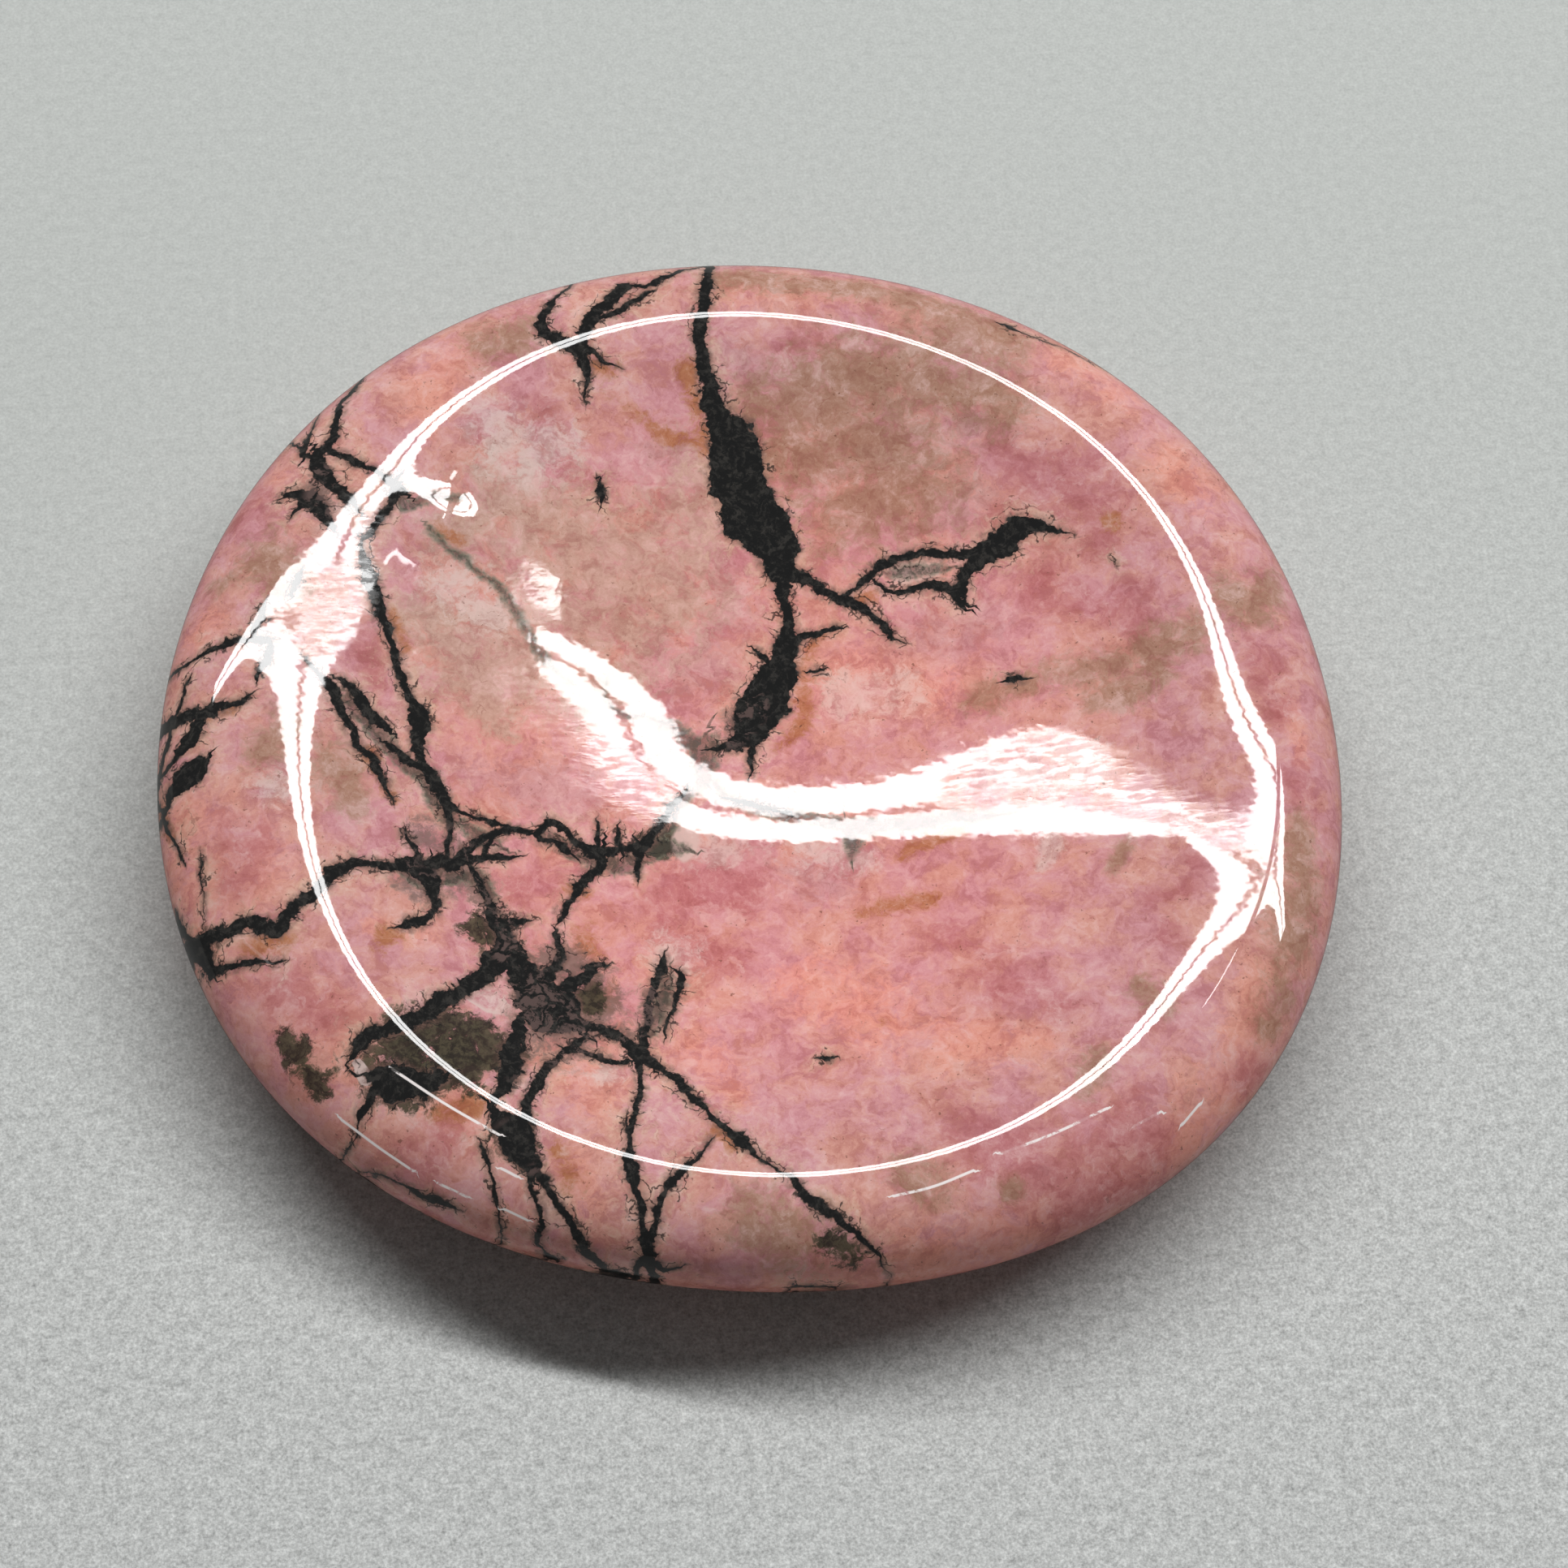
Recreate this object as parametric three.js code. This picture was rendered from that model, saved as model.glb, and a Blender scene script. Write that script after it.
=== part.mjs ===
// Worry stone: one flat rounded pebble with a shallow thumb hollow ground into its top.
// Seen from the side it has three stretches: the bowl of the hollow up to its rounded rim,
// the shoulder from the rim out to the widest line, and a low dome under that, down to a
// small flat spot that the stone rests on.
// Millimetres, +Z up, +X along the stone's length, origin at the middle of the flat spot.

import * as THREE from "three";

// A closed line seen from above: a circle whose radius rises and falls in a few gentle waves.
// Each wave has a number of lobes, a height, and the direction of one of its crests in degrees.
const WIDEST_LINE = {
  radius: 19.87,
  centre: new THREE.Vector2(0.13, -0.115),
  waves: [
    { lobes: 2, height: 0.33, crest: 0 },
    { lobes: 3, height: 0.18, crest: -45 },
    { lobes: 4, height: 0.22, crest: 39 },
  ],
};
const RIM_LINE = {
  radius: 17.2,
  centre: new THREE.Vector2(0.3, -0.05),
  waves: [
    { lobes: 2, height: 0.12, crest: -40 },
    { lobes: 3, height: 0.12, crest: -20 },
    { lobes: 4, height: 0.09, crest: 35 },
  ],
};
const FLAT_SPOT_LINE = {
  radius: 6,
  centre: new THREE.Vector2(0, 0),
  waves: [],
};

const WIDEST_HEIGHT = 3.6;
const RIM_HEIGHT = 5.75;
const HOLLOW_DEPTH = 1.95;

// The bowl's curve takes this share of the way from the middle to the rim, and the rim's
// rounding the rest, so the two meet at one slope.
const BOWL_SHARE = 0.82;

// The hollow was ground by hand, so its bowl leans a little and is slightly saddle-shaped.
// These heights fade out toward the rim.
const HOLLOW_LEAN = new THREE.Vector2(-0.09, 0.33);
const HOLLOW_SADDLE = new THREE.Vector2(0.74, -0.8);

// How full the curves under the rim are: 2 is an ellipse, and more is closer to a box.
const SHOULDER_FULLNESS = 2;
const DOME_FULLNESS = 2.3;

// How finely the surface is divided: around the stone, and along each stretch of its profile.
const SECTORS = 90;
const BOWL_ROWS = 10;
const RIM_ROWS = 6;
const SHOULDER_ROWS = 9;
const DOME_ROWS = 11;

// The stone's plain colour, a dusty pink, and its polish.
const STONE_PINK = 0xc2847d;
const STONE_ROUGHNESS = 0.12;

// The point of a line in one direction, seen from above.
function pointOn(line, angle) {
  let radius = line.radius;
  for (const wave of line.waves) {
    const crest = THREE.MathUtils.degToRad(wave.crest);
    radius += wave.height * Math.cos(wave.lobes * (angle - crest));
  }
  return new THREE.Vector2(Math.cos(angle), Math.sin(angle)).multiplyScalar(radius).add(line.centre);
}

// How far the hollow has risen, from 0 at its middle to 1 at its rim: a parabola that opens
// upwards over the bowl, then one that opens downwards and is level at the rim.
function hollowRise(share) {
  if (share < BOWL_SHARE) {
    return share ** 2 / BOWL_SHARE;
  }
  return 1 - (1 - share) ** 2 / (1 - BOWL_SHARE);
}

function hollowPoint(share, angle) {
  const across = RIM_LINE.centre.clone().lerp(pointOn(RIM_LINE, angle), share);
  const lean = HOLLOW_LEAN.x * Math.cos(angle) + HOLLOW_LEAN.y * Math.sin(angle);
  const saddle = HOLLOW_SADDLE.x * Math.cos(2 * angle) + HOLLOW_SADDLE.y * Math.sin(2 * angle);
  const unevenness = (lean * share + saddle * share ** 2) * (1 - share ** 2) ** 2;
  const height = RIM_HEIGHT - HOLLOW_DEPTH * (1 - hollowRise(share)) + unevenness;
  return new THREE.Vector3(across.x, across.y, height);
}

// A quarter of a rounded curve one unit wide and high, from its top (share 0) to its side
// (share 1): level at the top, upright at the side.
function quarterCurve(share, fullness) {
  const turn = (share * Math.PI) / 2;
  const out = Math.sin(turn) ** (2 / fullness);
  const up = share === 1 ? 0 : Math.cos(turn) ** (2 / fullness);
  return { out, up };
}

// From the rim, where it is level, down to the widest line, where it is upright.
function shoulderPoint(share, angle) {
  const { out, up } = quarterCurve(share, SHOULDER_FULLNESS);
  const across = pointOn(RIM_LINE, angle).lerp(pointOn(WIDEST_LINE, angle), out);
  const height = THREE.MathUtils.lerp(WIDEST_HEIGHT, RIM_HEIGHT, up);
  return new THREE.Vector3(across.x, across.y, height);
}

// From the widest line, where it is upright, down to the flat spot's edge, where it is level:
// the same curve upside down.
function domePoint(share, angle) {
  const { out, up } = quarterCurve(1 - share, DOME_FULLNESS);
  const across = pointOn(FLAT_SPOT_LINE, angle).lerp(pointOn(WIDEST_LINE, angle), out);
  return new THREE.Vector3(across.x, across.y, WIDEST_HEIGHT * (1 - up));
}

// The rows of the surface from the hollow's middle outwards, down and under to the flat spot.
// Each is a point on the profile for any direction.
function profileRows() {
  const rows = [];
  for (let i = 1; i <= BOWL_ROWS; i++) {
    rows.push((angle) => hollowPoint((BOWL_SHARE * i) / BOWL_ROWS, angle));
  }
  for (let i = 1; i <= RIM_ROWS; i++) {
    rows.push((angle) => hollowPoint(THREE.MathUtils.lerp(BOWL_SHARE, 1, i / RIM_ROWS), angle));
  }
  for (let i = 1; i <= SHOULDER_ROWS; i++) {
    rows.push((angle) => shoulderPoint(i / SHOULDER_ROWS, angle));
  }
  for (let i = 1; i <= DOME_ROWS; i++) {
    rows.push((angle) => domePoint(i / DOME_ROWS, angle));
  }
  return rows;
}

// The closed surface: the hollow's middle, every row of points, and the middle of the flat spot,
// joined by a fan of triangles, bands of them, and a second fan.
function stoneGeometry() {
  const rows = profileRows();
  const positions = [...hollowPoint(0, 0).toArray()];
  for (const row of rows) {
    for (let sector = 0; sector < SECTORS; sector++) {
      positions.push(...row((sector / SECTORS) * 2 * Math.PI).toArray());
    }
  }
  positions.push(FLAT_SPOT_LINE.centre.x, FLAT_SPOT_LINE.centre.y, 0);

  const top = 0;
  const bottom = 1 + rows.length * SECTORS;
  const vertex = (row, sector) => 1 + row * SECTORS + (sector % SECTORS);
  const triangles = [];
  for (let sector = 0; sector < SECTORS; sector++) {
    triangles.push(top, vertex(0, sector), vertex(0, sector + 1));
    for (let row = 0; row < rows.length - 1; row++) {
      const inner = vertex(row, sector);
      const innerNext = vertex(row, sector + 1);
      const outer = vertex(row + 1, sector);
      const outerNext = vertex(row + 1, sector + 1);
      triangles.push(inner, outer, outerNext);
      triangles.push(inner, outerNext, innerNext);
    }
    triangles.push(vertex(rows.length - 1, sector), bottom, vertex(rows.length - 1, sector + 1));
  }

  const geometry = new THREE.BufferGeometry();
  geometry.setAttribute("position", new THREE.Float32BufferAttribute(positions, 3));
  geometry.setIndex(triangles);
  geometry.computeVertexNormals();
  return geometry;
}

function stone() {
  const material = new THREE.MeshStandardMaterial({
    color: STONE_PINK,
    roughness: STONE_ROUGHNESS,
    metalness: 0,
  });
  const mesh = new THREE.Mesh(stoneGeometry(), material);
  mesh.name = "stone";
  return mesh;
}

const worryStone = new THREE.Group();
worryStone.add(stone());

export default worryStone;
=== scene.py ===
# %% [markdown]
# # A rhodonite worry stone
# A worry stone is a flat polished pebble with a hollow ground into its top for the thumb.
# This one is rhodonite, a pink manganese mineral cut through by black veins of manganese oxide.
# The measured model gives the stone's size and place. This file gives it its fine surface, its
# colours and its polish, one step at a time.

# %% Load the measured model
import math

import bpy
import numpy as np
from mathutils import Matrix, Vector
from mathutils.bvhtree import BVHTree


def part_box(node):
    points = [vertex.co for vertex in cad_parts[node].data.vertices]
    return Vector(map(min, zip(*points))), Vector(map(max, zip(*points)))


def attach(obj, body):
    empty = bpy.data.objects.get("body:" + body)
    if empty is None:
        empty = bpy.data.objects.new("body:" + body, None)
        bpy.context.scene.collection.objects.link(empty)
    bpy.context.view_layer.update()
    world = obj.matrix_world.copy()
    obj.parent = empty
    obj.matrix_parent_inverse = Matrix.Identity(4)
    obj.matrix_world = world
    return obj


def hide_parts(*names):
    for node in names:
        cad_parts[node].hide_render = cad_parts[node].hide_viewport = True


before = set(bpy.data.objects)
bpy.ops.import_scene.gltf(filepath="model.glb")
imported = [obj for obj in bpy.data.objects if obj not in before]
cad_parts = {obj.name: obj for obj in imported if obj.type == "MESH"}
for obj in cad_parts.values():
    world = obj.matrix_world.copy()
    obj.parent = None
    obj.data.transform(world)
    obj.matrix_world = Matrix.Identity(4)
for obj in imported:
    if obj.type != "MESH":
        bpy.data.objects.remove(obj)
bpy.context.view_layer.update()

scene = bpy.context.scene

# %% [markdown]
# ## One ruler for everything
# The stone is 40 mm long. Every size below is written in millimetres of a stone of that length,
# and turned into metres with one factor that is read off the measured model. If the model is
# made larger or smaller, the veins, the floor and the lamps follow.

# %% The ruler
STONE_LENGTH = 40.0

stone_low, stone_high = (np.array(corner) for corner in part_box("stone"))
mm = (stone_high[0] - stone_low[0]) / STONE_LENGTH
stone_size = (stone_high - stone_low) / mm
print("one millimetre is", round(mm, 7), "m; the stone is", np.round(stone_size, 2), "mm")

# %% [markdown]
# ## The camera
# The photograph looks down at the stone from the front, at 62 degrees, a little from the left,
# with the camera rolled. A long lens flattens the view, as in a close-up of a small thing.
# The camera comes before the stone, because the veins are placed by where they are seen in the
# photograph, so the same numbers are used twice.

# %% The camera
PHOTO_SIDE = 1932.0
VIEW_AZIMUTH = math.radians(344)
VIEW_ELEVATION = math.radians(62)
VIEW_ROLL = math.radians(10)
VIEW_ANGLE = math.radians(22)
VIEW_DISTANCE = 136.55
VIEW_AIM = np.array([0.96, -1.05, 3.0])
SENSOR_WIDTH = 36.0


def camera_axes():
    """Right, up and forward of the camera, as unit vectors.

    Forward is the heading tipped down by the elevation. Right is level, and then right and up
    are turned about forward by the roll.
    """
    heading = np.array([-math.sin(VIEW_AZIMUTH), math.cos(VIEW_AZIMUTH), 0.0])
    forward = heading * math.cos(VIEW_ELEVATION) - np.array([0, 0, math.sin(VIEW_ELEVATION)])
    level = np.cross(forward, [0.0, 0.0, 1.0])
    level /= np.linalg.norm(level)
    upright = np.cross(level, forward)
    right = level * math.cos(VIEW_ROLL) + upright * math.sin(VIEW_ROLL)
    up = upright * math.cos(VIEW_ROLL) - level * math.sin(VIEW_ROLL)
    return right, up, forward


view_right, view_up, view_forward = camera_axes()
view_place = VIEW_AIM - VIEW_DISTANCE * view_forward


def make_camera():
    """A camera whose columns are right, up and backward, with a lens for the view angle."""
    data = bpy.data.cameras.new("camera")
    data.sensor_width = SENSOR_WIDTH
    data.lens = SENSOR_WIDTH / 2 / math.tan(VIEW_ANGLE / 2)
    data.clip_start = 0.001
    camera = bpy.data.objects.new("camera", data)
    turn = Matrix([view_right, view_up, -view_forward]).transposed()
    camera.matrix_world = Matrix.Translation(Vector(view_place * mm)) @ turn.to_4x4()
    scene.collection.objects.link(camera)
    return camera


scene.camera = make_camera()
print("camera at", np.round(view_place, 1), "mm, lens", round(scene.camera.data.lens, 1), "mm")

# %% [markdown]
# ## Light
# The polish is read from what it mirrors. In the photograph two rows of long thin tubes of light
# hang over the far side of the stone: they make the double streak across the hollow and the
# bright line round the rim, and they throw the short shadow toward the viewer. Each row has a
# small gap between two tubes, and the streaks stop short there. So the lamps are narrow strips,
# well above the stone and behind it, two in each row. Beside the gap a very short lamp makes
# the small bright patch on the left of the hollow. A wider soft lamp near them, which the
# polish doesn't mirror, gives the stone and the floor most of their light, so the two can be
# set apart: the strips for the gloss, the soft lamp for the colours.

# %% Lamps and surroundings
LAMP_HEIGHT = 300.0
LAMP_SKEW = math.radians(-3)
LAMP_REACH = (-300.0, 300.0)
TUBE_REACHES = ((-300.0, 56.0), (66.0, 300.0))
STRIP_WIDTH = 4.8
STRIP_DISTANCES = (158.0, 164.8)
STRIP_RADIANCE = 12.5
SHORT_LAMP_REACH = (52.6, 55.4)
SHORT_LAMP_WIDTH = 11.0
SHORT_LAMP_DISTANCE = 145.0
SHORT_LAMP_RADIANCE = 10.5
SOFT_LAMP_WIDTH = 26.0
SOFT_LAMP_DISTANCE = 151.0
SOFT_LAMP_RADIANCE = 29.6
SURROUNDINGS = (0.092, 0.095, 0.095)


def make_lamp(name, distance, width, reach, radiance):
    """A level rectangular lamp that faces the stone, at that distance behind it. Its reach is
    where it starts and ends along its own line, counted from the point behind the stone."""
    data = bpy.data.lights.new(name, "AREA")
    data.shape = "RECTANGLE"
    data.size = (reach[1] - reach[0]) * mm
    data.size_y = width * mm
    data.energy = radiance * math.pi * data.size * data.size_y
    lamp = bpy.data.objects.new(name, data)
    behind = np.array([-math.sin(VIEW_AZIMUTH) * distance, math.cos(VIEW_AZIMUTH) * distance, LAMP_HEIGHT])
    along = np.array([math.cos(VIEW_AZIMUTH + LAMP_SKEW), math.sin(VIEW_AZIMUTH + LAMP_SKEW), 0])
    across = np.cross(behind, along)
    across /= np.linalg.norm(across)
    turn = Matrix([along, across, np.cross(along, across)]).transposed()
    place = behind + along * (reach[0] + reach[1]) / 2
    lamp.matrix_world = Matrix.Translation(Vector(place * mm)) @ turn.to_4x4()
    scene.collection.objects.link(lamp)
    return lamp


for row, distance in enumerate(STRIP_DISTANCES, 1):
    for tube, reach in enumerate(TUBE_REACHES, 1):
        make_lamp(f"strip_lamp_{row}_{tube}", distance, STRIP_WIDTH, reach, STRIP_RADIANCE)
make_lamp("short_lamp", SHORT_LAMP_DISTANCE, SHORT_LAMP_WIDTH, SHORT_LAMP_REACH, SHORT_LAMP_RADIANCE)
soft_lamp = make_lamp("soft_lamp", SOFT_LAMP_DISTANCE, SOFT_LAMP_WIDTH, LAMP_REACH, SOFT_LAMP_RADIANCE)
soft_lamp.visible_glossy = False

world = bpy.data.worlds.new("surroundings")
world.use_nodes = True
world.node_tree.nodes["Background"].inputs["Color"].default_value = (*SURROUNDINGS, 1)
scene.world = world
scene.view_settings.view_transform = "Standard"

# %% [markdown]
# ## The stone's shape
# The stone is described as it was ground. Seen from above it has two closed lines, the rim of
# the hollow and the widest line of the stone. Each is a circle that a few gentle waves make
# uneven. Seen from the side the surface runs from the middle of the hollow up to the rounded
# rim, over the shoulder to the widest line, and back under a low dome to a small flat spot.
# A point of the surface is found from two parameters, its share of the way along that profile
# and its direction, so the whole surface is worked out at once with arrays.

# %% The stone's lines and profile
WIDEST_LINE = {"radius": 19.87, "centre": (0.13, -0.115),
               "waves": ((2, 0.33, 0), (3, 0.18, -45), (4, 0.22, 39))}
RIM_LINE = {"radius": 17.2, "centre": (0.3, -0.05),
            "waves": ((2, 0.12, -40), (3, 0.12, -20), (4, 0.09, 35))}
FLAT_SPOT_RADIUS = 6.0
WIDEST_HEIGHT = 3.6
RIM_HEIGHT = 5.75
HOLLOW_DEPTH = 1.95
BOWL_SHARE = 0.82
SHOULDER_FULLNESS = 2.0
DOME_FULLNESS = 2.3

# The hollow was ground by hand: it leans a little, it is slightly saddle-shaped, and it has a few
# places that are some hundredths of a millimetre too high or too low. Each of those is its x, y,
# breadth and height.
HOLLOW_LEAN = (-0.09, 0.33)
HOLLOW_SADDLE = (0.74, -0.8)
UNEVEN_PLACES = ((-8.2, -1.5, 3.5, 0.06), (-6.0, 5.0, 4.0, -0.08), (15.0, -5.5, 2.5, -0.05),
                 (12.0, -3.0, 3.5, 0.03), (11.0, 6.0, 4.0, -0.04), (-9.7, 8.8, 0.9, 0.08))


def toward(angle):
    """Unit vectors in a direction, seen from above."""
    return np.stack([np.cos(angle), np.sin(angle)], -1)


def line_point(line, angle):
    """The point of a closed line in one direction: centre plus radius, where the radius is a
    mean plus a cosine for each wave, given as its number of lobes, height and crest."""
    radius = line["radius"] + sum(height * np.cos(lobes * (angle - math.radians(crest)))
                                  for lobes, height, crest in line["waves"])
    return np.array(line["centre"]) + radius[..., None] * toward(angle)


def hollow_height(share, angle):
    """Height in the hollow: a parabola that opens upwards over the bowl, then one that opens
    downwards and is level at the rim, plus the lean and the saddle, which fade out at the rim."""
    rise = np.where(share < BOWL_SHARE, share**2 / BOWL_SHARE, 1 - (1 - share) ** 2 / (1 - BOWL_SHARE))
    lean = share * (HOLLOW_LEAN[0] * np.cos(angle) + HOLLOW_LEAN[1] * np.sin(angle))
    saddle = share**2 * (HOLLOW_SADDLE[0] * np.cos(2 * angle) + HOLLOW_SADDLE[1] * np.sin(2 * angle))
    return RIM_HEIGHT - HOLLOW_DEPTH * (1 - rise) + (lean + saddle) * (1 - share**2) ** 2


def quarter_curve(share, fullness):
    """Out and up on a quarter of a rounded curve, from its top to its side: powers of the sine
    and cosine of a quarter turn."""
    turn = share * math.pi / 2
    return np.sin(turn) ** (2 / fullness), np.clip(np.cos(turn), 0, 1) ** (2 / fullness)


def upper_surface(along, angle):
    """Points from the hollow's middle (along 0) over the rim (1) to the widest line (2), plus a
    shallow bell curve at each uneven place."""
    middle = np.array(RIM_LINE["centre"])
    rim, widest = line_point(RIM_LINE, angle), line_point(WIDEST_LINE, angle)
    share = np.clip(along, 0, 1)
    out, up = quarter_curve(np.clip(along - 1, 0, 1), SHOULDER_FULLNESS)
    across = middle + (rim - middle) * share[..., None] + (widest - rim) * out[..., None]
    shoulder = WIDEST_HEIGHT + (RIM_HEIGHT - WIDEST_HEIGHT) * up
    height = np.where(along < 1, hollow_height(share, angle), shoulder)
    for x, y, breadth, rise in UNEVEN_PLACES:
        apart = (across - np.array([x, y])) / breadth
        height = height + rise * np.exp(-(apart**2).sum(-1) / 2)
    return np.concatenate([across, height[..., None]], -1)


def lower_surface(along, angle):
    """Points from the middle of the flat spot (along 0) past its edge (1) to the widest line (2)."""
    edge = FLAT_SPOT_RADIUS * toward(angle)
    widest = line_point(WIDEST_LINE, angle)
    out, up = quarter_curve(np.clip(along - 1, 0, 1), DOME_FULLNESS)
    across = edge * np.clip(along, 0, 1)[..., None] + (widest - edge) * out[..., None]
    return np.concatenate([across, (WIDEST_HEIGHT * (1 - up))[..., None]], -1)


# %% [markdown]
# ## A grid with no pole
# Rings of points round a middle crowd together there. Instead a square grid is bent into a
# disc, ring by ring: the squares stay nearly square everywhere, and there is no pole to pinch
# the polish. One such disc covers the top and one the underside, and they share their edge.

# %% Bend a square grid into a disc
GRID_STEPS = 220
PROFILE_SAMPLES = 4000


def disc_grid(steps):
    """Radius (0 to 1) and direction of each point of a square grid bent into a disc.

    The larger of a point's two coordinates is its radius, and the smaller one, divided by the
    larger, turns it by up to an eighth of a turn.
    """
    line = np.linspace(-1, 1, steps + 1)
    u, v = np.meshgrid(line, line, indexing="ij")
    wide = np.abs(u) > np.abs(v)
    larger, smaller = np.where(wide, u, v), np.where(wide, v, u)
    turn = math.pi / 4 * smaller / np.where(larger == 0, 1, larger)
    x = np.where(wide, larger * np.cos(turn), larger * np.sin(turn))
    y = np.where(wide, larger * np.sin(turn), larger * np.cos(turn))
    return np.hypot(x, y), np.arctan2(y, x)


def even_along(surface, radius):
    """Turns a radius on the disc into a place along the profile, so that equal steps in radius
    are equal steps over the surface, measured along the profile in direction zero."""
    along = np.linspace(0, 2, PROFILE_SAMPLES)
    points = surface(along, np.zeros_like(along))
    length = np.concatenate([[0], np.cumsum(np.linalg.norm(np.diff(points, axis=0), axis=1))])
    return np.interp(radius, length / length[-1], along)


grid_radius, grid_angle = disc_grid(GRID_STEPS)
upper_points = upper_surface(even_along(upper_surface, grid_radius), grid_angle)
lower_points = lower_surface(even_along(lower_surface, grid_radius), grid_angle)
print("grid of", grid_radius.shape, "points for the top and the underside")

# %% [markdown]
# ## Join the two discs
# The grid's outermost points are the widest line in both discs, so the underside uses the top's
# points there. The underside's faces run the other way round, so that all faces point out.

# %% One closed skin
def disc_faces(index):
    """The four corners of every square of a grid of point numbers."""
    return np.stack([index[:-1, :-1], index[1:, :-1], index[1:, 1:], index[:-1, 1:]], -1).reshape(-1, 4)


def join_discs(upper, lower):
    """Points and faces of the closed skin."""
    side = upper.shape[0]
    upper_index = np.arange(side * side).reshape(side, side)
    inside = np.zeros((side, side), bool)
    inside[1:-1, 1:-1] = True
    lower_index = upper_index.copy()
    lower_index[inside] = side * side + np.arange(inside.sum())
    points = np.concatenate([upper.reshape(-1, 3), lower[inside]])
    faces = np.concatenate([disc_faces(upper_index), disc_faces(lower_index)[:, ::-1]])
    return points, faces


skin_points, skin_faces = join_discs(upper_points, lower_points)
print(len(skin_points), "points,", 2 * len(skin_faces), "triangles")

# %% Make the stone's mesh
def make_stone(points, faces):
    """The stone as one smooth mesh, in metres, kept inside the measured model's box."""
    low, high = points.min(0), points.max(0)
    inside = (points - low) / (high - low) * (stone_high - stone_low) + stone_low
    mesh = bpy.data.meshes.new("polished_stone")
    mesh.from_pydata(inside, [], faces)
    mesh.shade_smooth()
    stone = bpy.data.objects.new("polished_stone", mesh)
    scene.collection.objects.link(stone)
    return stone


stone = make_stone(skin_points, skin_faces)
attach(stone, "root")
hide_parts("stone")
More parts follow.
